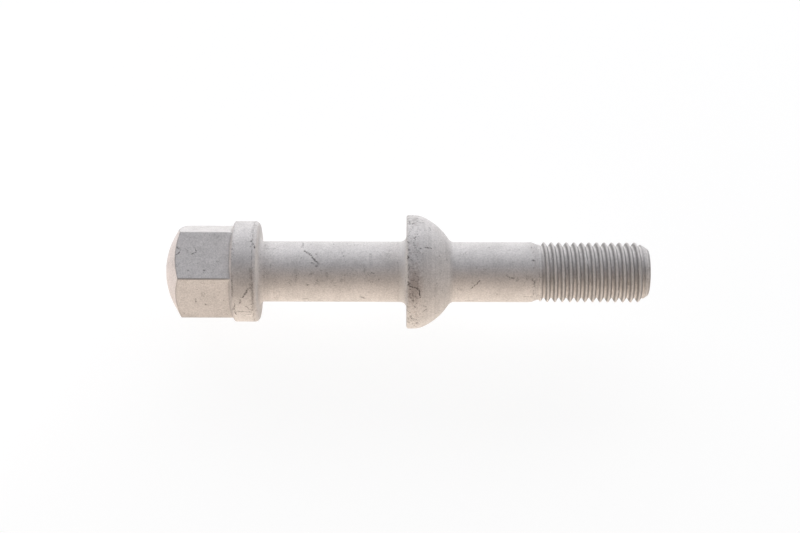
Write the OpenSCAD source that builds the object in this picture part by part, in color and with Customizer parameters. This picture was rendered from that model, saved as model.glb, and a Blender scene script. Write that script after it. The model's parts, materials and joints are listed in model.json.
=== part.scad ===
// Wheel bolt with a domed hexagon head, a flange and a ball seat, turned from one piece of steel.
// All lengths are in millimetres. The bolt is drawn along its own axis, from the top of the dome at
// zero to the end of the thread, and is then laid down on its flange and its collar, as it comes to rest.

/* [Head] */
// Width of the hexagon across its flats
hex_flats = 17; // [14:0.5:17]
// Height from the top of the dome to the flange
head_h = 12.9; // [8:0.1:18]
// Radius of the domed top
dome_r = 14.3; // [12:0.1:18]
// Slope of the chamfer round the dome, which cuts off the hexagon's corners
chamfer_angle = 30; // [22:1:38]
// Fillet where the hexagon's sides meet the flange
hex_fillet_r = 0.55; // [0.2:0.05:0.6]

/* [Flange] */
// Diameter of the flange
flange_d = 20; // [20:0.1:22]
// Thickness of the flange
flange_t = 5.65; // [3:0.05:9]
// Bevel of the flange's edge on the head's side
flange_bevel = 0.85; // [0.4:0.05:1.2]
// Rounding of the flange's edge on the neck's side
flange_edge_r = 0.9; // [0.3:0.1:1.2]
// Fillet between the flange and the neck
flange_fillet_r = 0.9; // [0.3:0.1:1.5]

/* [Neck] */
// Diameter of the neck between the flange and the collar
neck_d = 12; // [10:0.1:13]
// Length of the neck
neck_l = 29.1; // [10:0.1:60]
// Fillet between the neck and the back of the collar
collar_fillet_r = 1.25; // [0.3:0.05:2.5]

/* [Ball seat] */
// Diameter of the collar that carries the seat
collar_d = 22.55; // [21:0.05:23.4]
// Rounding of the collar's back edge
collar_edge_r = 0.4; // [0.2:0.05:0.8]
// Radius of the spherical seat
seat_r = 12; // [11.9:0.05:13]
// How far the seat's centre lies behind the collar's back face
seat_centre_depth = 1.73; // [0.5:0.01:3]
// Fillet where the seat runs into the shank
seat_fillet_r = 1.5; // [0.5:0.1:3]

/* [Shank] */
// Diameter of the plain shank
shank_d = 11.93; // [11:0.01:12.5]
// Length from the collar's back face to the end of the plain shank
shank_l = 24.8; // [14:0.1:50]
// Diameter of the bare blank in front of the thread
blank_d = 11; // [10.4:0.05:11.2]
// Length of the taper from the shank down to the blank
taper_l = 1.1; // [0.4:0.1:3]
// Length of the bare blank
blank_l = 0.7; // [0.2:0.1:4]

/* [Thread] */
// Major diameter of the thread, an M12 x 1.5
thread_d = 11.95; // [11.5:0.01:12]
// Length of the thread, with its lead and its end chamfer
thread_l = 21.3; // [8:0.1:50]
// Diameter of the flat end face
end_face_d = 9.2; // [7:0.1:10]
// Length of the chamfer at the thread's end
end_chamfer_l = 2.05; // [0.5:0.05:3]

/* [Rest] */
// How far the bolt has rolled from where one of the hexagon's flats faces down, in degrees
rest_roll = -9; // [-14:0.5:14]

/* [Hidden] */
$fn = 180;

// How far a straight stretch of an arc may lie inside the true arc
arc_sag = 0.002;
// Room that a clipping shape leaves round what it clips
clip_margin = 1;
// How far the hexagon's fillet dips into the flats and the flange, so that the surfaces cross cleanly
fillet_dip = 0.01;
// How far the fillet's foot stays from the edge of the flange's flat face
foot_margin = 0.03;

// Radii
hex_r = hex_flats / 2;
corner_r = hex_r / cos(30);
flange_r = flange_d / 2;
face_r = flange_r - flange_bevel;
neck_r = neck_d / 2;
collar_r = collar_d / 2;
shank_r = shank_d / 2;
blank_r = blank_d / 2;
thread_r = thread_d / 2;
end_face_r = end_face_d / 2;

// Stations along the axis
flange_top = head_h;
flange_bottom = flange_top + flange_t;
collar_back = flange_bottom + neck_l;
seat_z = collar_back - seat_centre_depth;
shank_end = collar_back + shank_l;
blank_start = shank_end + taper_l;
thread_start = blank_start + blank_l;
thread_end = thread_start + thread_l;
lead_l = thread_r - blank_r;

// The hexagon reaches into the flange, which it is one piece with
hex_root = flange_top + flange_t / 2;
// The fillet's foot stays on the flange's flat face
foot_r = face_r - foot_margin;
hex_fillet = min(hex_fillet_r, foot_r - hex_r - foot_margin);
// The dome runs into the chamfer where both have the same slope
dome_edge_r = dome_r * sin(chamfer_angle);
dome_edge_z = dome_r * (1 - cos(chamfer_angle));
clip_r = max(corner_r, dome_edge_r) + clip_margin;

// Angles from the square plane through the seat's centre at which the collar's rim starts the seat
// and the fillet to the shank ends it
seat_from = acos(collar_r / seat_r);
seat_to = acos((shank_r + seat_fillet_r) / (seat_r + seat_fillet_r));

// The bolt touches the floor at the flange's beveled edge and at the collar's rounded back edge.
// That edge is an arc, so the line through both contacts is one radius below the arc's centre.
rim_run = collar_back + collar_edge_r - flange_top - flange_bevel;
rim_rise = collar_r - collar_edge_r - flange_r;
rest_tilt = atan2(rim_rise, rim_run) + asin(collar_edge_r / norm([rim_run, rim_rise]));
rest_z = flange_r * cos(rest_tilt) - (flange_top + flange_bevel) * sin(rest_tilt);
// The lowest point of the end face reaches furthest one way, and the side of the dome the other
far_x = thread_end * cos(rest_tilt) + end_face_r * sin(rest_tilt);
near_x = dome_r * (cos(rest_tilt) - 1);
rest_x = -(far_x + near_x) / 2;

// Points of an arc about a centre, with as many as keep the straight stretches within arc_sag of it
function arc(centre, r, from, to) =
    let (steps = ceil(abs(to - from) / (2 * acos(1 - arc_sag / r))))
    [for (i = [0:steps]) let (a = from + (to - from) * i / steps) centre + r * [cos(a), sin(a)]];

// Outline of everything behind the head, as pairs of radius and station
body_outline = concat(
    [[0, flange_top], [face_r, flange_top], [flange_r, flange_top + flange_bevel]],
    arc([flange_r - flange_edge_r, flange_bottom - flange_edge_r], flange_edge_r, 0, 90),
    arc([neck_r + flange_fillet_r, flange_bottom + flange_fillet_r], flange_fillet_r, 270, 180),
    arc([neck_r + collar_fillet_r, collar_back - collar_fillet_r], collar_fillet_r, 180, 90),
    arc([collar_r - collar_edge_r, collar_back + collar_edge_r], collar_edge_r, -90, 0),
    arc([0, seat_z], seat_r, seat_from, seat_to),
    arc([shank_r + seat_fillet_r, seat_z + (seat_r + seat_fillet_r) * sin(seat_to)],
        seat_fillet_r, 180 + seat_to, 180),
    [[shank_r, shank_end], [blank_r, blank_start], [blank_r, thread_start]],
    [[thread_r, thread_start + lead_l], [thread_r, thread_end - end_chamfer_l]],
    [[end_face_r, thread_end], [0, thread_end]]
);

// Outline of the dome and the chamfer, which trim the hexagon
dome_outline = concat(
    arc([0, dome_r], dome_r, -90, chamfer_angle - 90),
    [[clip_r, dome_edge_z + (clip_r - dome_edge_r) * tan(chamfer_angle)]],
    [[clip_r, hex_root + clip_margin], [0, hex_root + clip_margin]]
);

// One side of a slab between two opposite flats, which flares out to the flange
flare_r = hex_r + hex_fillet - fillet_dip;
flare_side = concat(
    arc([flare_r, flange_top - hex_fillet + fillet_dip], hex_fillet, 180, 90),
    [[flare_r, hex_root]]
);

// What three such slabs, a sixth of a turn apart, have in common is the hexagon with its fillets
module flare() {
    last = len(flare_side) - 1;
    other_side = [for (i = [last:-1:0]) [-flare_side[i][0], flare_side[i][1]]];
    intersection_for (third = [0:2])
        rotate([90, 0, 60 * third])
            linear_extrude(height = 4 * clip_r, center = true)
                polygon(concat(flare_side, other_side));
}

module hexagon() {
    rotate([0, 0, 30]) cylinder(r = corner_r, h = hex_root, $fn = 6);
    // The fillets run out on the edge of the flange's flat face, short of the hexagon's corners
    intersection() {
        flare();
        cylinder(r = foot_r, h = hex_root - fillet_dip);
    }
}

module head() {
    intersection() {
        hexagon();
        rotate_extrude() polygon(dome_outline);
    }
}

module turned_body() {
    rotate_extrude() polygon(body_outline);
}

module wheel_bolt() {
    color([0.66, 0.65, 0.63])
        translate([rest_x, 0, rest_z])
            rotate([0, 90 - rest_tilt, 0])
                rotate([0, 0, rest_roll]) {
                    head();
                    turned_body();
                }
}

wheel_bolt();
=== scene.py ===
import json
import math

import bpy
import numpy as np
from mathutils import Matrix, Vector


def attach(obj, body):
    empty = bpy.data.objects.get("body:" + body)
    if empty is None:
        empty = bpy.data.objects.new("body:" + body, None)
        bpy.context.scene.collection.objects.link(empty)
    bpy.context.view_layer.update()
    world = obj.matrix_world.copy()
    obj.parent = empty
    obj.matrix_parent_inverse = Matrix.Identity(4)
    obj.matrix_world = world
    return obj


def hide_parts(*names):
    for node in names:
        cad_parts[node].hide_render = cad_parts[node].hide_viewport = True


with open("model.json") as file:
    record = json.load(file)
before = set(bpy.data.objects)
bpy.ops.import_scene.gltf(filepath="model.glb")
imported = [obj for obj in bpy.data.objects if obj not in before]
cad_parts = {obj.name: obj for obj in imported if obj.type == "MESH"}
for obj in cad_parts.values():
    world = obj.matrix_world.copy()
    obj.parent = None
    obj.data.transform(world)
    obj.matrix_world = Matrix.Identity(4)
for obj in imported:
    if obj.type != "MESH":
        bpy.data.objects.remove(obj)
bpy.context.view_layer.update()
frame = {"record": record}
print("frame loaded")

# The bolt is worked out in millimetres in its own frame: z runs along its axis from the top of the dome,
# and angle 0 is the middle of the hexagon's flat that faces up and a little away from the camera.
mm = 0.001

restPose = {
    "roll": -9.0,            # degrees that the bolt has rolled from where a flat faces straight up
    "threadMountZ": 84.1125, # station of the record's thread mount, the middle of the full thread
}

boltSizes = {
    "hexR": 8.5,             # half of the width across the flats
    "hexCornerSoft": 0.38,   # rounding of the hexagon's six long corners
    "headHeight": 12.9,      # top of the dome to the flange
    "domeR": 14.3,
    "chamferAngle": 30.0,
    "headEdgeSoft": 0.14,    # rounding where the dome and its chamfer end at the flats
    "hexFillet": 0.34,
    "filletRoom": 0.6,       # share of the room beside a flat that the fillet may take
    "flangeR": 10.0,
    "flangeThick": 5.65,
    "flangeRim": 0.85,       # height of the bevel's outer edge over the head's height
    "flangeFace": 0.42,      # height of the flange's flat face over the same, between the flats and the bevel
    "flangeFaceR": 9.05,
    "flangeEdgeSoft": 0.16,  # rounding between the bevel and the flange's cylinder
    "flangeEdgeR": 0.9,
    "flangeFilletR": 0.9,
    "neckR": 6.0,
    "neckLength": 29.1,
    "collarFilletR": 1.25,
    "collarR": 11.275,
    "collarEdgeR": 0.4,
    "seatR": 12.0,
    "seatCentreDepth": 1.73, # how far the seat's centre lies behind the collar's back
    "seatFilletR": 1.5,
    "seatCornerSoft": 1.0,   # rounding where the collar's rim runs into the seat
    "seatSkipped": 5.5,      # degrees of the seat's arc that this rounding takes up
    "shankR": 5.965,
    "shankLength": 24.8,     # from the collar's back
    "shankSoft": 0.35,
    "taperLength": 1.1,
    "taperSoft": 0.08,
    "blankR": 5.5,
    "endFaceR": 4.6,
    "endChamfer": 2.05,
    "endSoft": 0.12,
    "endCorner": 4.65,       # where the rounding's corner would be if it were sharp
    "endRings": [3.0, 1.5, 0],  # radii of the rows on the flat end face
}

# wear, and painted shade at the hexagon's foot, on the mesh's own rows, each from 0 to 1
rowWearAndPaintedShade = {
    "chamferStart": 0.4,     # worn edges, from the dome's side to the thread's end
    "chamferFull": 0.3,      # share of the rounding of the head's edge from which it is fully worn
    # painted shade: a darker line along the middle of the hexagon's fillet, kept with the worn edges
    "filletCreaseShade": 0.2,
    "faceEdge": 0.3,
    "bevelEdge": 0.3,
    "rimEdge": 0.4,
    "endEdge": 0.9,
    "filletPaintedShade": 0.30,     # painted shade in the fillet, on the flange's face and on its bevel
    "facePaintedShade": 0.22,
    "bevelPaintedShade": 0.18,
    "cornerWide": 1.45,      # degrees from a corner of the hexagon at which its wear ends
    "cornerFrom": 2.9,       # station at which it starts
}

threadSizes = {
    "pitch": 1.5,
    "crestR": 5.975,
    "depth": 0.93,           # of the flanks if the root were sharp-cornered
    "crestFlat": 0.1875,     # width of the crest, an eighth of the pitch
    "crestSoft": 0.07,
    "rootSoft": 0.22,
    "crestWide": 0.15,       # share of the pitch on each side of the crest that gets no painted shade
    "flankPaintedShade": [0.21, 0.30, 0.38],  # where the painted shade on the flank is full, starts to fade and ends
    "knots": [0, 0.035, 0.065, 0.1, 0.215, 0.33, 0.39, 0.445, 0.5],  # rows from a crest to the root
    "crestStation": 75.21,   # where a crest passes angle 0
    "startZ": 73.72,         # bare blank up to here
    "fullZ": 74.6,           # full depth from here
    "endZ": 95.55,
}

meshDensity = {
    "perSector": 21,         # columns on each flat, beside those at its corners
    "cornerColumns": (-1.3, -1, -2 / 3, -1 / 3, 0, 1 / 3, 2 / 3, 1, 1.3),  # over the rounding's half angle
    "domeRows": 17,
    "flatRows": 9,
    "filletRows": 7,
    "roundingRows": 5,
    "chamferRows": (0.34, 0.67, 1),  # places of the rows along the dome's chamfer
    "shortRows": (0.33, 0.67, 1),    # and along the flange's bevel and the rounding at the thread's end
    "arcSteps": {"flange": 8, "collarFillet": 9, "collarEdge": 6, "seat": 20, "seatFillet": 8},
    "longest": 1.4,          # longest stretch between two rows
    "support": 0.06,         # how close a row stands beside each rounding
    "weldDecimals": 5,       # places that are equal to so many decimals of a millimetre become one vertex
}


def boltAxes():
    # three unit directions of the bolt's frame and its origin, from the thread mount in the record
    mount = next(m for m in frame["record"]["mounts"] if m["name"] == "thread")
    along = np.array(mount["axis"]) / np.linalg.norm(mount["axis"])
    front = np.array([0.0, -1.0, 0.0])
    up = np.cross(front, along)
    up /= np.linalg.norm(up)
    turn = math.radians(restPose["roll"])
    first = math.cos(turn) * up + math.sin(turn) * front
    second = -math.sin(turn) * up + math.cos(turn) * front
    origin = np.array(mount["pos_m"]) / mm - restPose["threadMountZ"] * along
    return np.array([first, second, along]), origin


def cornerShape():
    # how far the centre of a corner's rounding is from the axis, and the angle that it takes up on each side
    soft = boltSizes["hexCornerSoft"]
    arm = (boltSizes["hexR"] - soft) / math.cos(math.radians(30))
    return arm, math.atan2(soft / 2, arm + soft * math.cos(math.radians(30)))


def columnAngles():
    # even columns over each sixth of a turn, with close ones at the hexagon's rounded corners
    cornerHalf = math.degrees(cornerShape()[1])
    near = cornerHalf * np.array(meshDensity["cornerColumns"])
    between = np.linspace(near[-1], 60 + near[0], meshDensity["perSector"] + 2)[1:-1]
    sector = np.concatenate([near, between])
    flatMiddle = len(near) + meshDensity["perSector"] // 2
    turnOfSix = np.concatenate([sector + 30 + 60 * k for k in range(6)])
    angles = np.roll(turnOfSix, -(flatMiddle + 2 * len(sector)))
    angles = np.sort(np.where(angles > 180 - 1e-6, angles - 360, angles))
    return np.radians(np.append(angles, angles[0] + 360))


def hexRadius(angle):
    # flat: half width over the cosine from the flat's normal. Corner: a circle about a point on its own ray
    soft = boltSizes["hexCornerSoft"]
    arm, cornerHalf = cornerShape()
    fromNormal = np.radians((np.degrees(angle) + 30) % 60 - 30)
    flat = boltSizes["hexR"] / np.cos(fromNormal)
    fromCorner = np.radians(30) - np.abs(fromNormal)
    corner = arm * np.cos(fromCorner) + np.sqrt(np.maximum(soft**2 - (arm * np.sin(fromCorner)) ** 2, 0))
    return np.where(fromCorner < cornerHalf, corner, flat)


def bezier(a, b, c, t):
    # quadratic curve: starts at a towards b and ends at c from b
    return (1 - t) ** 2 * a + 2 * t * (1 - t) * b + t**2 * c


def headRows(angles):
    # radius and station of every row of the head, as arrays over the columns, from the dome's top to the
    # edge of the flange's bevel. Each column follows dome, chamfer, edge, flat, fillet, flange face, bevel.
    s, w, d = boltSizes, rowWearAndPaintedShade, meshDensity
    side = hexRadius(angles)
    slope = math.radians(s["chamferAngle"])
    domeEdge = s["domeR"] * math.sin(slope)
    domeEdgeZ = s["domeR"] * (1 - math.cos(slope))
    faceR, faceZ = s["flangeFaceR"], s["headHeight"] + s["flangeFace"]
    bevelSlope = (s["flangeRim"] - s["flangeFace"]) / (s["flangeR"] - faceR)
    soft, support = s["headEdgeSoft"], d["support"]
    flangeZ = lambda r: faceZ + bevelSlope * np.maximum(0, r - faceR)
    # wear holds worn edges and a painted shade line along the fillet; shade holds the painted shade at the
    # hexagon's foot
    rows, wearAndCreaseShade, shade = [], [], []

    def addRow(r, z, edge=0.0, shaded=0.0):
        rows.append((r + 0 * angles, z + 0 * angles))
        wearAndCreaseShade.append(edge + 0 * angles)
        shade.append(shaded + 0 * angles)

    for r in np.linspace(0, domeEdge, d["domeRows"]):
        addRow(r, s["domeR"] - math.sqrt(s["domeR"] ** 2 - r**2))
    crossZ = domeEdgeZ + (side - domeEdge) * math.tan(slope)
    coneEnd = side - (soft + support) * math.cos(slope)
    for t in d["chamferRows"]:
        r = domeEdge + (coneEnd - domeEdge) * t
        addRow(r, domeEdgeZ + (r - domeEdge) * math.tan(slope))
    for t in np.linspace(0, 1, d["roundingRows"]):
        addRow(bezier(side - soft * math.cos(slope), side, side, t),
               bezier(crossZ - soft * math.sin(slope), crossZ, crossZ + soft, t),
               1 if t > w["chamferFull"] else w["chamferStart"])
    fillet = np.minimum(s["hexFillet"], s["filletRoom"] * (s["flangeR"] - side))
    flatTop, flatEnd = crossZ + soft + support, flangeZ(side) - fillet
    for t in np.linspace(0, 1, d["flatRows"]):
        addRow(side, flatTop + (flatEnd - flatTop) * t)
    # the fillet: painted shade over all of it, and a darker painted shade line along its middle
    for t in np.linspace(0, 1, d["filletRows"])[1:]:
        addRow(bezier(side, side, side + fillet, t),
               bezier(flatEnd, flangeZ(side), flangeZ(side + fillet), t),
               w["filletCreaseShade"] * math.sin(math.pi * t), w["filletPaintedShade"])
    foot = side + fillet
    bevelFrom = np.maximum(foot, faceR)
    # the flange's face and bevel: painted shade, and wear growing towards the rim
    for t in (0.5, 1):
        r = foot + (bevelFrom - foot) * t
        addRow(r, flangeZ(r), w["faceEdge"] * t, w["facePaintedShade"])
    edgeSoft = s["flangeEdgeSoft"]
    bevelCos = math.cos(math.atan(bevelSlope))
    bevelTo = s["flangeR"] - edgeSoft * bevelCos
    for t in d["shortRows"]:
        r = bevelFrom + (np.maximum(bevelTo, bevelFrom) - bevelFrom) * t
        addRow(r, flangeZ(r), w["bevelEdge"] * max(0, t - 0.5), w["bevelPaintedShade"])
    edgeZ = s["headHeight"] + s["flangeRim"]
    for t in np.linspace(0, 1, d["roundingRows"])[1:]:
        addRow(bezier(bevelTo, s["flangeR"], s["flangeR"], t),
               bezier(edgeZ - edgeSoft * bevelCos * bevelSlope, edgeZ, edgeZ + edgeSoft, t), w["rimEdge"])
    return rows, wearAndCreaseShade, shade


def arcPoints(centreR, centreZ, radius, fromDeg, toDeg, steps):
    # points of a circle about (centreR, centreZ), the angle measured from the radius towards the thread's end
    a = np.radians(np.linspace(fromDeg, toDeg, steps + 1))
    return [(centreR + radius * math.cos(x), centreZ + radius * math.sin(x)) for x in a]


def softenedProfile(points):
    # each point is (radius, station) or (radius, station, soft): a soft corner becomes a short curve with a
    # row close on each side, and long straight stretches are divided
    out = []
    last = len(points) - 1
    for i, point in enumerate(points):
        here = np.array(point[:2])
        soft = point[2] if len(point) > 2 else 0
        if not soft or i in (0, last):
            out.append(here)
            continue
        before = np.array(points[i - 1][:2]) - here
        after = np.array(points[i + 1][:2]) - here
        before, after = before / np.linalg.norm(before), after / np.linalg.norm(after)
        along = np.linspace(0, 1, meshDensity["roundingRows"])
        out.append(here + before * (soft + meshDensity["support"]))
        out += [bezier(here + before * soft, here, here + after * soft, t) for t in along]
        out.append(here + after * (soft + meshDensity["support"]))
    rows = [out[0]]
    for point in out[1:]:
        pieces = max(1, math.ceil(np.linalg.norm(point - rows[-1]) / meshDensity["longest"]))
        start = rows[-1]
        rows += [start + (point - start) * k / pieces for k in range(1, pieces + 1)]
    return rows


def turnedRows():
    # everything from the flange's cylinder to the bare blank in front of the thread
    s, steps = boltSizes, meshDensity["arcSteps"]
    flangeTop = s["headHeight"] + s["flangeRim"]
    flangeBottom = s["headHeight"] + s["flangeThick"]
    collarBack = flangeBottom + s["neckLength"]
    seatZ = collarBack - s["seatCentreDepth"]
    shankEnd = collarBack + s["shankLength"]
    seatFrom = math.degrees(math.acos(s["collarR"] / s["seatR"]))
    filletSum = s["seatR"] + s["seatFilletR"]
    seatTo = math.degrees(math.acos((s["shankR"] + s["seatFilletR"]) / filletSum))
    filletZ = seatZ + filletSum * math.sin(math.radians(seatTo))
    edge, fillet, back, rim = s["flangeEdgeR"], s["flangeFilletR"], s["collarFilletR"], s["collarEdgeR"]
    seatStart = seatZ + s["seatR"] * math.sin(math.radians(seatFrom))
    points = [(s["flangeR"], flangeTop + s["flangeEdgeSoft"] + meshDensity["support"])]
    points += arcPoints(s["flangeR"] - edge, flangeBottom - edge, edge, 0, 90, steps["flange"])
    points += arcPoints(s["neckR"] + fillet, flangeBottom + fillet, fillet, 270, 180, steps["flange"])
    points += arcPoints(s["neckR"] + back, collarBack - back, back, 180, 90, steps["collarFillet"])
    points += arcPoints(s["collarR"] - rim, collarBack + rim, rim, -90, 0, steps["collarEdge"])
    points += [(s["collarR"], seatStart, s["seatCornerSoft"])]
    points += arcPoints(0, seatZ, s["seatR"], seatFrom + s["seatSkipped"], seatTo, steps["seat"])
    points += arcPoints(s["shankR"] + s["seatFilletR"], filletZ, s["seatFilletR"], 180 + seatTo, 180,
                        steps["seatFillet"])[1:]
    points += [(s["shankR"], shankEnd, s["shankSoft"])]
    points += [(s["blankR"], shankEnd + s["taperLength"], s["taperSoft"])]
    points += [(s["blankR"], threadSizes["startZ"])]
    return softenedProfile(points)


def threadRadius(toCrest):
    # flank depth grows by the root of three from half the crest's width on; soft upper and lower limits make
    # the round crest and root
    t = threadSizes
    flank = (toCrest * t["pitch"] - t["crestFlat"] / 2) * math.sqrt(3)
    flank = (flank + np.sqrt(flank**2 + t["crestSoft"] ** 2)) / 2
    left = t["depth"] - flank
    left = (left + np.sqrt(left**2 + t["rootSoft"] ** 2)) / 2
    return t["crestR"] - (t["depth"] - left)


def threadRows(angles):
    # rows follow the right-handed helix: station = crest + pitch * (row's knot + angle / full turn), held
    # between the two ends, so that the last column of a row is the first column of the row a pitch further on
    t, s = threadSizes, boltSizes
    half = np.array(t["knots"])
    knots = np.concatenate([half, 1 - half[-2:0:-1]])
    turn = angles / (2 * math.pi)
    lastZ = t["endZ"] - s["endSoft"]
    firstTurn = math.floor((t["startZ"] - t["crestStation"]) / t["pitch"] - turn[-1])
    lastTurn = math.ceil((lastZ - t["crestStation"]) / t["pitch"] - turn[0])
    u = np.concatenate([knots + k for k in range(firstTurn, lastTurn)] + [[lastTurn]])
    z = np.clip(t["crestStation"] + t["pitch"] * (u[:, None] + turn[None, :]), t["startZ"], lastZ)
    toCrest = np.abs((u + 0.5) % 1 - 0.5)[:, None] + 0 * z
    grown = np.clip((z - t["startZ"]) / (t["fullZ"] - t["startZ"]), 0, 1)
    grown = grown * grown * (3 - 2 * grown)
    r = s["blankR"] + grown * (threadRadius(toCrest) - s["blankR"])
    coneStart = t["endZ"] - s["endChamfer"]
    cone = t["crestR"] - (z - coneStart) * (t["crestR"] - s["endFaceR"]) / s["endChamfer"]
    # painted shade in the groove: 0 on the crest, 1 on the flanks and none at the root
    paintedShade = np.interp(toCrest, [t["crestWide"], *t["flankPaintedShade"]], [0, 1, 1, 0])
    return np.minimum(r, cone), z, paintedShade * grown * (r < cone)


def boltGrid():
    # stacks all rows into one grid of radius and station, with an edge value and a running length for each
    angles = columnAngles()
    head, headWearAndCreaseShade, headPaintedShade = headRows(angles)
    r = [row[0] for row in head]
    z = [row[1] for row in head]
    edge = list(headWearAndCreaseShade)
    turned = turnedRows()
    for point in turned:
        r.append(point[0] + 0 * angles)
        z.append(point[1] + 0 * angles)
        edge.append(0 * angles)
    coilR, coilZ, coilPaintedShade = threadRows(angles)
    endZ, endR, soft = threadSizes["endZ"], boltSizes["endFaceR"], boltSizes["endSoft"]
    rings, along = boltSizes["endRings"], meshDensity["shortRows"]
    capR = [bezier(coilR[-1, 0], boltSizes["endCorner"], endR - soft, t) for t in along] + rings
    capZ = [bezier(endZ - soft, endZ, endZ, t) for t in along] + [endZ] * len(rings)
    r = np.vstack([np.array(r), coilR, np.array(capR)[:, None] + 0 * angles])
    z = np.vstack([np.array(z), coilZ, np.array(capZ)[:, None] + 0 * angles])
    before, after = len(head) + len(turned), len(capR)
    edge = np.pad(np.array(edge), ((0, len(coilR) + after), (0, 0)))
    edge[-after - 1 : -len(rings)] = rowWearAndPaintedShade["endEdge"]
    # painted shade: the thread's groove, and the hexagon's foot from the head's rows
    paintedShade = np.pad(coilPaintedShade, ((before, after), (0, 0)))
    paintedShade[: len(head)] = headPaintedShade
    stepLength = np.hypot(np.diff(r, axis=0), np.diff(z, axis=0)).mean(axis=1)
    first, last = before, len(r) - after
    length = np.concatenate([[0], np.cumsum(stepLength)])[:, None] + 0 * z
    coilSpan = (z[first:last] - threadSizes["startZ"]) / (endZ - soft - threadSizes["startZ"])
    length[first:last] = length[first, 0] + coilSpan * (length[last - 1, 0] - length[first, 0])
    return angles, r, z, edge, paintedShade, length / length[-1, 0]


def weldedMesh(name, places, u, v, shades):
    # grid of places to one closed mesh: equal places become one vertex, faces left with no width are dropped,
    # and each face corner keeps its own place on the unrolled map
    rows, columns = places.shape[:2]
    flat = np.round(places.reshape(-1, 3), meshDensity["weldDecimals"])
    unique, index = np.unique(flat, axis=0, return_inverse=True)
    index = index.reshape(-1)
    cell = (np.arange(rows - 1)[:, None] * columns + np.arange(columns - 1)[None, :]).reshape(-1)
    corners = np.stack([cell, cell + 1, cell + columns + 1, cell + columns], axis=1)
    welded = index[corners]
    same = welded == np.roll(welded, -1, axis=1)
    quads = ~same.any(axis=1) & (welded[:, 0] != welded[:, 2]) & (welded[:, 1] != welded[:, 3])
    triangles = same.sum(axis=1) == 1
    triangles &= (welded[:, 0] != welded[:, 2]) & (welded[:, 1] != welded[:, 3])
    keep = ~same[triangles]
    triCorners = corners[triangles][keep].reshape(-1, 3)
    loops = np.concatenate([corners[quads].reshape(-1), triCorners.reshape(-1)])
    sizes = np.concatenate([np.full(quads.sum(), 4), np.full(len(triCorners), 3)])
    mesh = bpy.data.meshes.new(name)
    mesh.vertices.add(len(unique))
    mesh.vertices.foreach_set("co", unique.reshape(-1) * mm)
    mesh.loops.add(len(loops))
    mesh.loops.foreach_set("vertex_index", index[loops].astype(np.int32))
    mesh.polygons.add(len(sizes))
    mesh.polygons.foreach_set("loop_start", np.concatenate([[0], np.cumsum(sizes)[:-1]]).astype(np.int32))
    mesh.polygons.foreach_set("loop_total", sizes.astype(np.int32))
    mesh.update(calc_edges=True)
    mesh.validate()
    layer = mesh.uv_layers.new(name="OFBake")
    layer.data.foreach_set("uv", np.stack([u.reshape(-1)[loops], v.reshape(-1)[loops]], axis=1).reshape(-1))
    for shade, grid in shades.items():
        values = np.zeros(len(unique))
        np.maximum.at(values, index, grid.reshape(-1))
        mesh.attributes.new(shade, "FLOAT", "POINT").data.foreach_set("value", values)
    edgeUse = np.bincount(np.array([l.edge_index for l in mesh.loops]), minlength=len(mesh.edges))
    print(name, len(mesh.vertices), "vertices", int((sizes - 2).sum()), "triangles",
          int((edgeUse != 2).sum()), "open edges")
    return mesh


def buildBolt():
    axes, origin = boltAxes()
    angles, r, z, edge, paintedShade, v = boltGrid()
    cosine, sine = np.cos(angles), np.sin(angles)
    cosine[-1], sine[-1] = cosine[0], sine[0]
    cornerDistance = np.abs(np.degrees(angles) % 60 - 30)
    cornerLine = np.clip(rowWearAndPaintedShade["cornerWide"] - cornerDistance, 0, 1)[None, :]
    onFlats = (z > rowWearAndPaintedShade["cornerFrom"]) & (z < boltSizes["headHeight"])
    onFlats &= np.abs(r - hexRadius(angles)[None, :]) < 1e-6
    edge = np.maximum(edge, np.where(onFlats, cornerLine, 0))
    local = np.stack([r * cosine, r * sine, z], axis=2)
    world = local @ axes + origin
    u = np.broadcast_to((angles - angles[0]) / (2 * math.pi), r.shape)
    # the mesh carries worn edges with a painted shade line in the fillet, and painted shade in the grooves and
    # at the hexagon's foot
    mesh = weldedMesh("wheelBolt", world, u, v, {"wornEdgeAndCreaseShade": edge, "paintedShade": paintedShade})
    mesh.shade_smooth()
    bolt = bpy.data.objects.new("wheelBolt", mesh)
    bpy.context.collection.objects.link(bolt)
    return bolt


bolt = buildBolt()
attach(bolt, "root")
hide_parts("wheel_bolt")
print("bolt built")

coatingLook = {
    "coat": (0.665, 0.637, 0.622),
    "dull": (0.51, 0.488, 0.474),    # soft cloudy patches
    "brightAndHighlight": (0.80, 0.785, 0.77),    # flecks and nicks where the flakes are rubbed bright, and a painted highlight on the collar's fillet
    "dirtAndCreaseShade": (0.10, 0.088, 0.084),    # in pits, cracks and scratches, and a painted shade line along the hexagon's fillet
    "rubbed": (0.34, 0.275, 0.255),  # brownish worn patch on the collar
    "metallic": 0.08,
    "roughness": 0.7,
    "dullShare": 0.42,
    "fleckShare": 0.6,
    "grainTone": 0.78,               # how much each pattern lightens and darkens the coat
    "fineTone": 0.26,
    "ringTone": 0.26,
    "paintedShadeDark": 0.6,               # how dark the painted shade in the grooves is, and the dirt in each kind of mark
    "speckDark": 0.55,
    "crackDark": 0.60,
    "edgeDark": 0.55,
    "bumpDepth": 0.00002,            # metres
    "strokeDepth": 1.7,              # strengthens the strokes, which fade to their sides and along their way
    "strokeWiden": 1.2,
    "strokeWait": 1e-6,              # shift that makes each stroke wait for the one before, too small to see
    "bandFull": 0.35,                # share of a band's half width up to which it is full
    "wander": 0.6,                   # how far the strokes wander from a straight line, in millimetres
}

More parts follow.
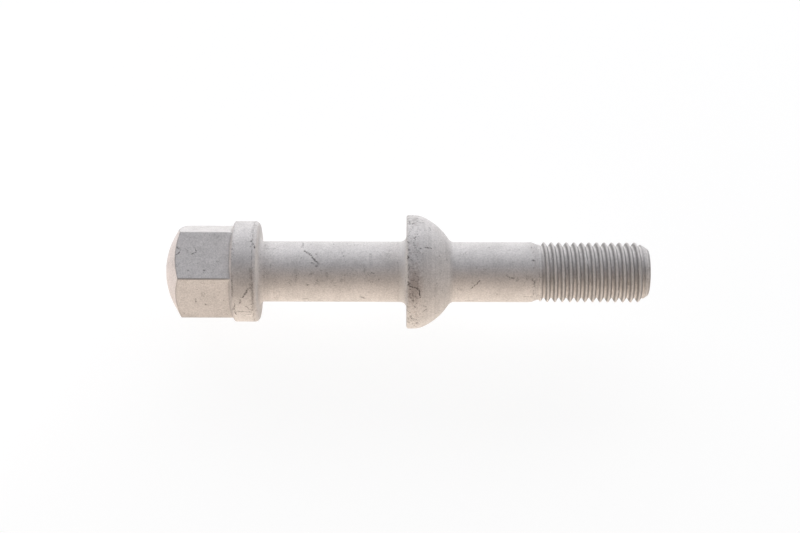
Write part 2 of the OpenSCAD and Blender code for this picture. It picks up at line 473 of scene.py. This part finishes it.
# noise patterns: scale per millimetre, detail and roughness
patterns = {
    "grain": (3.1, 3, 0.6),
    "fine": (7.0, 2, 0.6),
    "cloud": (0.33, 3, 0.55),
    "rings": (1.0, 3, 0.65),         # on a place squeezed along the axis
    "specks": (1.9, 3, 0.62),
    "cracks": (0.75, 4, 0.6),
    "crackPlaces": (0.42, 1, 0.5),
    "drift": (1.3, 2, 0.5),
    "fading": (4.6, 1, 0.5),
    "blotches": (1.1, 3, 0.6),
    "flecks": (3.6, 1, 0.5),
    "broken": (1.6, 2, 0.6),
}

ringSqueeze = (0.06, 0.06, 2.6)      # scales of the rings' place across and along the axis

# values of its noise between which each kind of mark comes in
limits = {
    "dull": (0.38, 0.72),
    "specks": (0.714, 0.79),
    "crackLine": (0.0, 0.014),       # how far the noise is from its middle
    "cracked": (0.60, 0.68),
    "fading": (0.36, 0.56),
    "blotches": (0.5, 0.72),
    "flecks": (0.64, 0.76),
    "edges": (0.36, 0.58),
    "broken": (0.42, 0.60),
}

# how much each thing adds: rings everywhere, more specks and cracks on scuffed rims, specks in clouds, what is
# left of a mark where it fades out, the patch's ragged edge, roughness, and height for the bump
shares = {
    "ringsAll": 0.25,
    "scuffSpecks": 0.082,
    "cloudSpecks": 0.10,
    "scuffCracks": 0.09,
    "strokeLeft": 0.12,
    "edgeLeft": 0.30,
    "edgeMost": 0.85,
    "ringLeft": 0.25,
    "ragged": 1.8,
    "grainRough": 0.14,
    "edgeSmooth": 0.12,
    "dirtRough": 0.15,
    "grainHeight": 0.9,
    "fineHeight": 0.4,
    "ringHeight": 0.5,
    "pitDepth": 1.6,
}

# the brownish patch on the collar, a soft oval
wornPatch = {
    "station": 49.2,
    "degrees": 36.0,
    "alongScale": 0.85,
    "roundScale": 3.2,
    "full": 1.7,                     # distance up to which it is full, with the raggedness added
    "gone": 3.0,
    "strength": 0.52,
    "blotchStrength": 0.3,
}

# where the rims are scuffed most: middle, half width and strength of each band of stations
scuffedBands = [(13.85, 0.55, 0.8), (17.65, 0.55, 1.3), (48.8, 1.9, 1.35), (72.5, 0.5, 0.8), (95.0, 0.6, 0.5)]

# turning marks show most beside the fillets, in bands of the same kind
turnedBands = [(19.5, 3.5, 1.0), (46.0, 2.2, 0.8), (54.0, 5.0, 1.0), (72.8, 1.6, 0.8), (94.8, 1.4, 1.5)]

# thin dark lines round the flange, the blank and the end's chamfer, in bands of the same kind
ringLines = [(17.72, 0.16, 0.36), (72.95, 0.12, 0.22), (73.3, 0.12, 0.26), (73.62, 0.12, 0.30),
             (94.4, 0.14, 0.30), (94.75, 0.14, 0.28), (95.26, 0.17, 0.50)]

# painted highlight: the collar's back fillet made lighter, in bands of the same kind
paintedHighlightBands = [(46.95, 1.0, 0.42)]

# wear marks: the radius of the part they lie on, then for each mark its half width, its darkness and its chain
# of (station, degrees)
wearMarks = {
    "flats": (8.8, [
        (0.19, 0.70, [(3.0, -11.2), (3.3, -9.7)]),
        (0.18, 0.65, [(3.5, -5.2), (3.1, -1.2)]),
        (0.12, 0.40, [(3.6, -8.7), (3.8, -5.7)]),
        (0.13, 0.35, [(4.6, -9.2), (5.1, -5.7)]),
        (0.18, 0.75, [(6.0, -2.2), (6.7, -4.9)]),
        (0.16, 0.60, [(6.8, -7.2), (6.6, -10.2)]),
        (0.19, 0.65, [(8.5, 19.3), (8.6, 19.8)]),
        (0.15, 0.50, [(5.4, 20.3), (5.4, 20.8)]),
        (0.13, 0.60, [(6.6, 59.3), (6.55, 66.3)]),
        (0.16, 0.50, [(8.3, 69.3), (8.6, 69.3)]),
    ]),
    "flange": (10.0, [
        (0.18, 0.65, [(17.6, -15.7), (17.65, -14.7)]),
        (0.20, 0.75, [(17.8, -11.7), (18.1, -10.2), (18.15, -6.7)]),
        (0.28, 0.35, [(17.5, 18.3), (17.6, 22.3)]),
        (0.22, 0.65, [(17.0, 41.3), (16.6, 45.3), (15.9, 51.3)]),
        (0.22, 0.55, [(15.5, 55.3), (15.3, 59.3)]),
        (0.15, 0.60, [(14.15, 60.3), (14.3, 79.3)]),
        (0.14, 0.60, [(14.3, 73.8), (16.0, 72.8), (17.3, 73.9)]),
        (0.13, 0.50, [(15.9, 80.1), (17.3, 77.6)]),
        (0.14, 0.55, [(16.3, 64.3), (16.9, 67.3), (17.7, 70.8)]),
        (0.24, 0.40, [(17.85, 40.3), (17.8, 58.3)]),
        (0.22, 0.35, [(13.95, 26.3), (13.95, 50.3)]),
        (0.15, 0.45, [(14.9, -151.7), (15.6, -140.7), (17.0, -142.7)]),
        (0.14, 0.40, [(16.8, 126.3), (15.2, 137.3)]),
    ]),
    "neck": (6.0, [
        (0.12, 0.30, [(27.1, -52.7), (27.05, -30.7)]),
        (0.22, 0.60, [(27.6, -21), (28.8, -12.5), (29.3, -5.8), (29.9, 2.3), (30.4, 5.5)]),
        (0.34, 0.40, [(30.4, 6), (30.0, 11)]),
        (0.19, 0.60, [(29.9, -13.7), (30.0, -13.7)]),
        (0.20, 0.50, [(29.0, 4.3), (29.4, 7.3)]),
        (0.22, 0.65, [(28.1, 46.3), (28.3, 47.3)]),
        (0.20, 0.60, [(34.8, 36.3), (35.0, 39.3)]),
        (0.13, 0.40, [(33.3, -46.7), (33.3, -41.7)]),
        (0.15, 0.45, [(35.3, -10.7), (35.3, -8.7)]),
        (0.16, 0.40, [(40.7, 23.3), (41.4, 23.8)]),
        (0.30, 0.50, [(38.9, 78.3), (39.4, 83.3)]),
        (0.20, 0.45, [(27.5, 83.3), (28.0, 85.3)]),
        (0.40, 0.16, [(26.1, 20.3), (26.1, 40.3)]),
        (0.40, 0.18, [(40.65, -13.7), (40.65, 6.3)]),
        (0.30, 0.22, [(39.5, 10.3), (39.4, 21.3)]),
        (0.15, 0.45, [(33.0, 146.3), (35.1, 158.3), (35.4, 169.3)]),
        (0.14, 0.35, [(24.2, -129.7), (24.4, -118.7)]),
        (0.15, 0.45, [(27.2, -50), (27.3, -35)]),
        (0.14, 0.40, [(26.9, -31), (27.3, -32)]),
        (0.20, 0.45, [(26.2, 27.5), (26.2, 33)]),
        (0.30, 0.28, [(32.1, 23.5), (32.1, 29.5)]),
        (0.26, 0.28, [(28.8, 26), (29.4, 23.8)]),
        (0.16, 0.35, [(30.8, 19), (31.0, 19)]),
        (0.30, 0.40, [(38.5, 75.5), (39.4, 83)]),
        (0.24, 0.35, [(27.4, 85), (28.2, 85)]),
    ]),
    "collar": (11.2, [
        (0.22, 0.55, [(47.95, 4.8), (47.8, 8.4)]),
        (0.17, 0.50, [(48.3, 69.5), (48.7, 75.4), (49.4, 78.2)]),
        (0.18, 0.45, [(48.1, -40), (48.3, -34)]),
        (0.16, 0.45, [(50.1, -38.3), (51.0, -41.4)]),
        (0.15, 0.35, [(52.2, -37), (52.2, -31)]),
        (0.18, 0.30, [(55.4, -2), (55.4, 3)]),
        (0.15, 0.70, [(51.2, -4.9), (52.5, -5.9)]),
        (0.16, 0.60, [(50.0, -3.7), (50.35, -3.2)]),
        (0.17, 0.70, [(48.1, 5.8), (47.95, 8.3)]),
        (0.16, 0.60, [(48.1, 16.8), (48.0, 18.8)]),
        (0.16, 0.75, [(48.0, 31.3), (48.15, 35.8), (49.2, 36.3), (50.2, 39.8), (50.2, 47.3)]),
        (0.14, 0.40, [(48.9, 41.3), (48.95, 52.3)]),
        (0.14, 0.45, [(50.9, 58.3), (51.5, 60.8)]),
        (0.14, 0.45, [(51.5, 63.8), (50.8, 66.3)]),
        (0.13, 0.45, [(48.4, 69.3), (48.7, 73.3), (49.4, 75.3)]),
        (0.20, 0.30, [(48.2, -47.7), (49.6, -48.7), (50.8, -45.7)]),
        (0.14, 0.40, [(52.0, -36.7), (52.2, -32.7)]),
        (0.14, 0.45, [(49.4, -23.7), (49.8, -23.2)]),
        (0.15, 0.55, [(48.3, 150.3), (49.6, 156.3), (50.0, 165.3), (51.5, 169.3)]),
        (0.15, 0.45, [(49.0, -121.7), (50.6, -112.7), (50.8, -105.7)]),
    ]),
    "shank": (5.97, [
        (0.14, 0.65, [(61.9, 37.3), (61.4, 44.3), (60.6, 50.3), (60.3, 55.3)]),
        (0.20, 0.60, [(72.3, -2.7), (72.5, -1.7)]),
        (0.24, 0.40, [(67.3, 27.3), (67.7, 30.3)]),
        (0.22, 0.60, [(68.2, 31.8), (68.5, 32.8)]),
        (0.15, 0.40, [(65.4, 66.3), (65.5, 69.3)]),
        (0.20, 0.45, [(72.1, 36.3), (72.7, 38.3)]),
        (0.17, 0.50, [(72.7, 40.3), (72.6, 50.3)]),
        (0.19, 0.35, [(72.6, 58.3), (72.5, 70.3)]),
        (0.13, 0.50, [(72.4, 75.3), (70.7, 74.3)]),
        (0.14, 0.40, [(58.2, -141.7), (60.8, -134.7)]),
    ]),
}

brightNicks = (5.75, [
    (0.12, 0.80, [(82.6, -14.7), (83.1, 3.3)]),
    (0.10, 0.50, [(89.2, 60.3), (89.4, 68.3)]),
    (0.10, 0.60, [(79.1, -141.7), (79.5, -129.7)]),
])


def fill(tree, socket, value):
    # links a socket to an input, or sets the input's own value
    if isinstance(value, bpy.types.NodeSocket):
        tree.links.new(value, socket)
    else:
        socket.default_value = value


def newNode(tree, kind, settings=None, **inputs):
    # adds a node, sets its options and fills its inputs, which are named with underscores for spaces, or by
    # an i and their number
    made = tree.nodes.new(kind)
    for key, value in (settings or {}).items():
        setattr(made, key, value)
    for key, value in inputs.items():
        numbered = key[0] == "i" and key[1:].isdigit()
        fill(tree, made.inputs[int(key[1:]) if numbered else key.replace("_", " ")], value)
    return made


def calc(tree, operation, *values, clamp=False):
    made = newNode(tree, "ShaderNodeMath", {"operation": operation, "use_clamp": clamp})
    for socket, value in zip(made.inputs, values):
        fill(tree, socket, value)
    return made.outputs[0]


def plus(tree, *values, clamp=False):
    return calc(tree, "ADD", *values, clamp=clamp)


def times(tree, *values, clamp=False):
    return calc(tree, "MULTIPLY", *values, clamp=clamp)


def vectorCalc(tree, operation, *values):
    # gives the vector, or the number where the operation makes one
    made = newNode(tree, "ShaderNodeVectorMath", {"operation": operation})
    for socket, value in zip((made.inputs[0], made.inputs[1]), values):
        fill(tree, socket, value)
    if operation == "SCALE":
        fill(tree, made.inputs["Scale"], values[2])
    return made.outputs["Value" if operation in ("DOT_PRODUCT", "LENGTH") else "Vector"]


def ramp(tree, value, low, high, outLow=0.0, outHigh=1.0):
    # smooth step from outLow at low to outHigh at high
    made = newNode(tree, "ShaderNodeMapRange", {"interpolation_type": "SMOOTHSTEP"}, i0=value, i1=low, i2=high,
                   i3=outLow, i4=outHigh)
    return made.outputs[0]


def blend(tree, share, first, second, kind="MIX"):
    colours = [value if isinstance(value, bpy.types.NodeSocket) else (*value, 1) for value in (first, second)]
    made = newNode(tree, "ShaderNodeMix", {"data_type": "RGBA", "blend_type": kind}, i0=share, i6=colours[0],
                   i7=colours[1])
    return made.outputs[2]


def noise(tree, place, name, output="Fac"):
    scale, detail, rough = patterns[name]
    made = newNode(tree, "ShaderNodeTexNoise", Vector=place, Scale=scale, Detail=detail, Roughness=rough)
    return made.outputs[output]


def strokeGroup():
    # the stroke is darkest on the line between two places and ends at the width: the share of the way along the
    # line to its nearest point is (place - start) . (end - start) / (end - start)^2, held between 0 and 1. The
    # mask before it goes in too and the darker of both comes out. Each stroke's place waits for that mask by an
    # amount too small to see, because a shader that works out all strokes at once is too big for Cycles.
    group = bpy.data.node_groups.new("scratchStroke", "ShaderNodeTree")
    sockets = [("Place", "Vector"), ("Start", "Vector"), ("End", "Vector"), ("Width", "Float"),
               ("Darkness", "Float"), ("Before", "Float")]
    for name, kind in sockets:
        group.interface.new_socket(name, in_out="INPUT", socket_type="NodeSocket" + kind)
    group.interface.new_socket("Mask", in_out="OUTPUT", socket_type="NodeSocketFloat")
    given = group.nodes.new("NodeGroupInput").outputs
    shift = times(group, given["Before"], coatingLook["strokeWait"])
    wait = vectorCalc(group, "SCALE", (1, 1, 0), (0, 0, 0), shift)
    away = vectorCalc(group, "SUBTRACT", vectorCalc(group, "ADD", given["Place"], wait), given["Start"])
    whole = vectorCalc(group, "SUBTRACT", given["End"], given["Start"])
    along = calc(group, "DIVIDE", vectorCalc(group, "DOT_PRODUCT", away, whole),
                 vectorCalc(group, "DOT_PRODUCT", whole, whole), clamp=True)
    reached = vectorCalc(group, "SCALE", whole, (0, 0, 0), along)
    distance = vectorCalc(group, "LENGTH", vectorCalc(group, "SUBTRACT", away, reached))
    near = calc(group, "SUBTRACT", 1, calc(group, "DIVIDE", distance, given["Width"]), clamp=True)
    mask = calc(group, "MAXIMUM", given["Before"], times(group, near, given["Darkness"]))
    result = group.nodes.new("NodeGroupOutput")
    group.links.new(mask, result.inputs["Mask"])
    return group


def strokes(tree, group, angle, station, wander, radius, chains, before=0.0):
    # the darkest of all strokes at a place, on the surface unrolled at the part's radius
    look = coatingLook
    flat = newNode(tree, "ShaderNodeCombineXYZ", X=station, Y=times(tree, angle, radius)).outputs[0]
    place = vectorCalc(tree, "ADD", flat, wander)
    for width, darkness, chain in chains:
        points = [(z, math.radians(degrees) * radius, 0) for z, degrees in chain]
        for start, end in zip(points, points[1:]):
            made = newNode(tree, "ShaderNodeGroup", {"node_tree": group}, Place=place, Start=start, End=end,
                           Width=width * look["strokeWiden"], Darkness=darkness * look["strokeDepth"],
                           Before=before)
            before = made.outputs["Mask"]
    return before


def bands(tree, station, places):
    # a bell over each band of stations: 1 in its middle and 0 at its half width, times its strength
    gathered = None
    for middle, half, strength in places:
        off = calc(tree, "ABSOLUTE", calc(tree, "SUBTRACT", station, middle))
        bell = ramp(tree, off, coatingLook["bandFull"] * half, half, strength, 0)
        gathered = bell if gathered is None else calc(tree, "MAXIMUM", gathered, bell)
    return gathered


def boltPlace(tree):
    # object coordinates turned into millimetres in the bolt's own frame
    axes, origin = boltAxes()
    turned = Matrix(axes.tolist()).to_euler()
    made = newNode(tree, "ShaderNodeMapping", {"vector_type": "POINT"},
                   Vector=newNode(tree, "ShaderNodeTexCoord").outputs["Object"], Location=tuple(-axes @ origin),
                   Rotation=tuple(turned), Scale=(1 / mm,) * 3)
    return made.outputs[0]


def coatedSteel():
    look, share = coatingLook, shares
    material = bpy.data.materials.new("zincFlakeCoating")
    material.use_nodes = True
    tree = material.node_tree
    tree.nodes.clear()
    place = boltPlace(tree)
    split = newNode(tree, "ShaderNodeSeparateXYZ", Vector=place)
    station = split.outputs["Z"]
    angle = calc(tree, "ARCTAN2", split.outputs["Y"], split.outputs["X"])
    # worn edges, which also carry a painted shade line along the hexagon's fillet, and painted shade in the
    # thread's grooves and at the hexagon's foot
    wornEdgeAndCreaseShade = newNode(tree, "ShaderNodeAttribute", {"attribute_name": "wornEdgeAndCreaseShade"}).outputs["Fac"]
    paintedShade = newNode(tree, "ShaderNodeAttribute", {"attribute_name": "paintedShade"}).outputs["Fac"]

    # patterns: grain about 0.3 mm across, clouds about 3 mm, rings squeezed along the axis
    grain = noise(tree, place, "grain")
    fine = noise(tree, place, "fine")
    cloud = noise(tree, place, "cloud")
    rings = noise(tree, vectorCalc(tree, "MULTIPLY", place, ringSqueeze), "rings")
    ringShare = plus(tree, bands(tree, station, turnedBands), share["ringsAll"])
    scuffed = bands(tree, station, scuffedBands)
    busy = plus(tree, times(tree, scuffed, share["scuffSpecks"]), times(tree, cloud, share["cloudSpecks"]))

    # specks and cracks: a fine noise over a limit that is lower on the scuffed rims, and thin lines where a
    # wide noise crosses its middle, kept only in places
    specks = ramp(tree, plus(tree, noise(tree, place, "specks"), busy), *limits["specks"])
    offMiddle = calc(tree, "ABSOLUTE", calc(tree, "SUBTRACT", noise(tree, place, "cracks"), 0.5))
    crackLine = ramp(tree, offMiddle, *limits["crackLine"], 1, 0)
    crackPlaces = plus(tree, noise(tree, place, "crackPlaces"), times(tree, scuffed, share["scuffCracks"]))
    cracks = times(tree, crackLine, ramp(tree, crackPlaces, *limits["cracked"]))

    # listed strokes, which wander with a noise and fade in and out along their way
    drift = vectorCalc(tree, "SUBTRACT", noise(tree, place, "drift", "Color"), (0.5, 0.5, 0.5))
    wander = vectorCalc(tree, "MULTIPLY", drift, (look["wander"], look["wander"], 0))
    group = strokeGroup()
    gathered = 0.0
    for radius, chains in wearMarks.values():
        gathered = strokes(tree, group, angle, station, wander, radius, chains, gathered)
    fading = ramp(tree, noise(tree, place, "fading"), *limits["fading"], share["strokeLeft"], 1)
    scratches = times(tree, gathered, fading, clamp=True)
    nicks = calc(tree, "MINIMUM", strokes(tree, group, angle, station, wander, *brightNicks), 1)

    # brownish worn patch on the collar's rim, a soft oval on the unrolled surface, streaked by the rings, and
    # fainter blotches of the same colour wherever the rims are scuffed
    fromStation = calc(tree, "SUBTRACT", station, wornPatch["station"])
    fromAngle = calc(tree, "SUBTRACT", angle, math.radians(wornPatch["degrees"]))
    patchPlace = newNode(tree, "ShaderNodeCombineXYZ", X=times(tree, fromStation, wornPatch["alongScale"]),
                         Y=times(tree, fromAngle, wornPatch["roundScale"])).outputs[0]
    ragged = plus(tree, times(tree, grain, share["ragged"]), rings)
    patchFar = plus(tree, vectorCalc(tree, "LENGTH", patchPlace), ragged)
    patch = ramp(tree, patchFar, wornPatch["full"], wornPatch["gone"], wornPatch["strength"], 0)
    blotch = ramp(tree, noise(tree, place, "blotches"), *limits["blotches"], 0, wornPatch["blotchStrength"])
    patch = calc(tree, "MAXIMUM", patch, times(tree, scuffed, blotch))

    # colour, from the coat outwards: each pattern's tone is 1 at the middle of its noise
    dull = ramp(tree, cloud, *limits["dull"], 0, look["dullShare"])
    colour = blend(tree, dull, look["coat"], look["dull"])
    grainTone = plus(tree, 1 - look["grainTone"] / 2, times(tree, grain, look["grainTone"]))
    fineTone = plus(tree, 1 - look["fineTone"] / 2, times(tree, fine, look["fineTone"]))
    ringDepth = times(tree, ringShare, look["ringTone"])
    ringTone = plus(tree, 1, times(tree, calc(tree, "SUBTRACT", rings, 0.5), ringDepth))
    # painted shade darkens the thread's flanks and the hexagon's foot
    paintedShadeTone = calc(tree, "SUBTRACT", 1, times(tree, paintedShade, look["paintedShadeDark"]))
    tone = times(tree, times(tree, grainTone, fineTone), times(tree, ringTone, paintedShadeTone))
    toneColour = newNode(tree, "ShaderNodeCombineXYZ", X=tone, Y=tone, Z=tone).outputs[0]
    colour = blend(tree, 1.0, colour, toneColour, "MULTIPLY")
    flecks = ramp(tree, noise(tree, place, "flecks"), *limits["flecks"], 0, look["fleckShare"])
    # painted highlight: the collar's back fillet lightened in the same colour as the flecks
    flecks = calc(tree, "MAXIMUM", flecks, bands(tree, station, paintedHighlightBands))
    colour = blend(tree, flecks, colour, look["brightAndHighlight"])
    colour = blend(tree, patch, colour, look["rubbed"])
    # worn edges, and a painted shade line along the hexagon's fillet
    edgeShare = ramp(tree, grain, *limits["edges"], share["edgeLeft"], share["edgeMost"])
    edgeAndCreaseLine = times(tree, wornEdgeAndCreaseShade, edgeShare)
    pitsAndCreaseShade = calc(tree, "MAXIMUM", times(tree, specks, look["speckDark"]),
                  times(tree, cracks, look["crackDark"]))
    pitsAndCreaseShade = calc(tree, "MAXIMUM", pitsAndCreaseShade, times(tree, edgeAndCreaseLine, look["edgeDark"]))
    broken = ramp(tree, noise(tree, place, "broken"), *limits["broken"], share["ringLeft"], 1)
    pitsAndCreaseShade = calc(tree, "MAXIMUM", pitsAndCreaseShade, times(tree, bands(tree, station, ringLines), broken))
    dark = calc(tree, "MAXIMUM", pitsAndCreaseShade, scratches)
    colour = blend(tree, dark, colour, look["dirtAndCreaseShade"])
    colour = blend(tree, nicks, colour, look["brightAndHighlight"])

    # roughness: the coat about as given, smoother on rubbed edges, rougher in the marks
    coatRough = look["roughness"] - share["grainRough"] / 2
    roughness = plus(tree, coatRough, times(tree, grain, share["grainRough"]))
    roughness = calc(tree, "SUBTRACT", roughness, times(tree, wornEdgeAndCreaseShade, share["edgeSmooth"]))
    roughness = plus(tree, roughness, times(tree, dark, share["dirtRough"]), clamp=True)

    # height for the bump: grain and rings stand up, and pits and worn edges go down
    height = plus(tree, times(tree, grain, share["grainHeight"]), times(tree, fine, share["fineHeight"]))
    height = plus(tree, height, times(tree, rings, times(tree, ringShare, share["ringHeight"])))
    height = calc(tree, "SUBTRACT", height, times(tree, pitsAndCreaseShade, share["pitDepth"]))
    bump = newNode(tree, "ShaderNodeBump", Strength=1.0, Distance=look["bumpDepth"], Height=height)

    shader = newNode(tree, "ShaderNodeBsdfPrincipled", Base_Color=colour, Metallic=look["metallic"],
                     Roughness=roughness, Normal=bump.outputs[0])
    newNode(tree, "ShaderNodeOutputMaterial", Surface=shader.outputs["BSDF"])
    return material


bolt.data.materials.append(coatedSteel())
print("materials made")

stageSizes = {
    "floorR": 0.9,           # metres, as all lengths of the stage
    "bendR": 0.35,
    "wallTop": 0.8,
    "innerRings": [0, 0.05, 0.2],
    "bendSteps": 12,
    "turnSteps": 96,
    "white": 0.91,           # strength at which the camera and reflections see it
    "dimTone": 0.16,         # what is added to that where a lamp lights it, so that it keeps its shadow
    "tableTone": 0.8,
    "wallTone": 0.2,
    "tableTop": 0.002,       # everything lower than this is table
    "glowColour": (1, 0.94, 0.85),
    "glow": 1.0,
    "glowNear": 0.055,       # the glow fades along the bolt from here
    "glowFar": 0.13,
    "glowEnds": 0.7,         # what is left of it there
    "shadedNear": 0.003,     # the table glows less in the bolt's own shade, out to here on both sides
    "shadedFar": 0.035,
    "shadedGlow": 0.35,
    "backGlow": 0.65,        # and less behind the bolt, where the back lamp is strong
    "backFrom": 0.06,
}


def paleSweep():
    # the camera, reflections and glass see a plain white that keeps shadows, and everything else sees a matt
    # table with a glow, which lights the bolt from below and from its sides
    s = stageSizes
    material = bpy.data.materials.new("paleSweep")
    material.use_nodes = True
    tree = material.node_tree
    tree.nodes.clear()
    split = newNode(tree, "ShaderNodeSeparateXYZ", Vector=newNode(tree, "ShaderNodeTexCoord").outputs["Object"])
    isTable = calc(tree, "LESS_THAN", split.outputs["Z"], s["tableTop"])
    tone = blend(tree, isTable, (s["wallTone"],) * 3, (s["tableTone"],) * 3)
    fade = ramp(tree, calc(tree, "ABSOLUTE", split.outputs["X"]), s["glowNear"], s["glowFar"],
                s["glow"], s["glow"] * s["glowEnds"])
    shaded = ramp(tree, calc(tree, "ABSOLUTE", split.outputs["Y"]), s["shadedNear"], s["shadedFar"],
                  s["shadedGlow"], 1)
    behind = ramp(tree, split.outputs["Y"], 0, s["backFrom"], 1, s["backGlow"])
    glow = times(tree, times(tree, isTable, fade), times(tree, shaded, behind))
    matt = newNode(tree, "ShaderNodeBsdfDiffuse", Color=tone)
    light = newNode(tree, "ShaderNodeEmission", Color=(*s["glowColour"], 1), Strength=glow)
    lit = newNode(tree, "ShaderNodeAddShader", i0=matt.outputs[0], i1=light.outputs[0])
    dim = newNode(tree, "ShaderNodeBsdfDiffuse", Color=(s["dimTone"],) * 3 + (1,))
    white = newNode(tree, "ShaderNodeEmission", Color=(1, 1, 1, 1), Strength=s["white"])
    seen = newNode(tree, "ShaderNodeAddShader", i0=dim.outputs[0], i1=white.outputs[0])
    path = newNode(tree, "ShaderNodeLightPath")
    direct = calc(tree, "MAXIMUM", path.outputs["Is Camera Ray"], path.outputs["Is Glossy Ray"])
    direct = calc(tree, "MAXIMUM", direct, path.outputs["Is Transmission Ray"])
    mix = newNode(tree, "ShaderNodeMixShader", Fac=direct, i1=lit.outputs[0], i2=seen.outputs[0])
    newNode(tree, "ShaderNodeOutputMaterial", Surface=mix.outputs[0])
    return material


def buildStage():
    # a round table that bends up into a wall all round: a profile turned about the vertical
    s = stageSizes
    inner = s["innerRings"]
    bend = np.radians(np.linspace(0, 90, s["bendSteps"] + 1))
    r = np.concatenate([inner, s["floorR"] + s["bendR"] * np.sin(bend), [s["floorR"] + s["bendR"]]])
    z = np.concatenate([[0] * len(inner), s["bendR"] * (1 - np.cos(bend)), [s["wallTop"]]])
    turn = np.linspace(0, 2 * math.pi, s["turnSteps"] + 1)
    places = np.stack([r[:, None] * np.cos(-turn), r[:, None] * np.sin(-turn), z[:, None] + 0 * turn], axis=2)
    places[:, -1] = places[:, 0]
    u = np.broadcast_to(turn / (2 * math.pi), places.shape[:2])
    v = np.broadcast_to((r / r[-1])[:, None], places.shape[:2])
    mesh = weldedMesh("studioSweep", places / mm, u, v, {})
    mesh.shade_smooth()
    sweep = bpy.data.objects.new("studioSweep", mesh)
    bpy.context.collection.objects.link(sweep)
    sweep.data.materials.append(paleSweep())
    return sweep


sweep = buildStage()

# each lamp stands at a place and looks at another, in metres
lampPlaces = {
    "backLamp": {"at": (0, 0.56, 0.25), "aim": (0, 0, 0.011), "size": (1.2, 0.26), "watts": 4.65,
                 "color": (0.92, 0.95, 1.0)},
    "frontLamp": {"at": (0, -0.6, 0.02), "aim": (0, 0, 0.011), "size": (1.2, 0.036), "watts": 3.3,
                  "color": (1.0, 0.828, 0.672)},
    "headLamp": {"at": (-0.115, 0, 0.010), "aim": (0, 0, 0.010), "size": (0.05, 0.018), "watts": 0.0215,
                 "color": (1.0, 0.82, 0.75)},
}


def buildLamps():
    for name, place in lampPlaces.items():
        data = bpy.data.lights.new(name, "AREA")
        data.shape = "RECTANGLE"
        data.size, data.size_y = place["size"]
        data.energy = place["watts"]
        data.color = place["color"]
        lamp = bpy.data.objects.new(name, data)
        lamp.location = place["at"]
        away = Vector(place["at"]) - Vector(place["aim"])
        lamp.rotation_euler = away.to_track_quat("Z", "Y").to_euler()
        lamp.visible_camera = False
        bpy.context.collection.objects.link(lamp)


worldLight = {"color": (1.0, 0.95, 1.0), "strength": 0.21}


def buildWorld():
    world = bpy.data.worlds.new("studioWorld")
    world.use_nodes = True
    background = world.node_tree.nodes["Background"]
    background.inputs["Color"].default_value = (*worldLight["color"], 1)
    background.inputs["Strength"].default_value = worldLight["strength"]
    bpy.context.scene.world = world


buildLamps()
buildWorld()
print("stage and lamps set")

cameraView = {
    "station": 46.36,        # station on the bolt's axis that stands in the middle of the picture's width
    "side": 12.2,            # degrees from straight up towards the front
    "aboveAxis": 1.05,       # how far the axis lies under the picture's middle
    "distance": 310.0,
    "turn": 0.18,            # degrees by which the thread's end hangs lower in the picture
    "focalPixels": 1558.0,
    "pictureWidth": 800.0,
    "clip": (0.01, 10),      # nearest and furthest, in metres
}


def buildCamera():
    axes, origin = boltAxes()
    along = axes[2]
    front = np.array([0.0, -1.0, 0.0])
    up = np.cross(front, along)
    side = math.radians(cameraView["side"])
    towards = math.cos(side) * up + math.sin(side) * front
    imageUp = math.sin(side) * up - math.cos(side) * front
    turn = math.radians(cameraView["turn"])
    right = along * math.cos(turn) + imageUp * math.sin(turn)
    imageTop = np.cross(towards, right)
    place = origin + along * cameraView["station"] + imageUp * cameraView["aboveAxis"]
    place = place + towards * cameraView["distance"]
    data = bpy.data.cameras.new("camera")
    data.sensor_fit = "HORIZONTAL"
    data.lens = data.sensor_width * cameraView["focalPixels"] / cameraView["pictureWidth"]
    data.clip_start, data.clip_end = cameraView["clip"]
    camera = bpy.data.objects.new("camera", data)
    columns = [*zip(right, imageTop, towards)]
    camera.matrix_world = Matrix.Translation(Vector(place * mm)) @ Matrix(columns).to_4x4()
    bpy.context.collection.objects.link(camera)
    bpy.context.scene.camera = camera


buildCamera()
bpy.context.scene.view_settings.view_transform = "Standard"
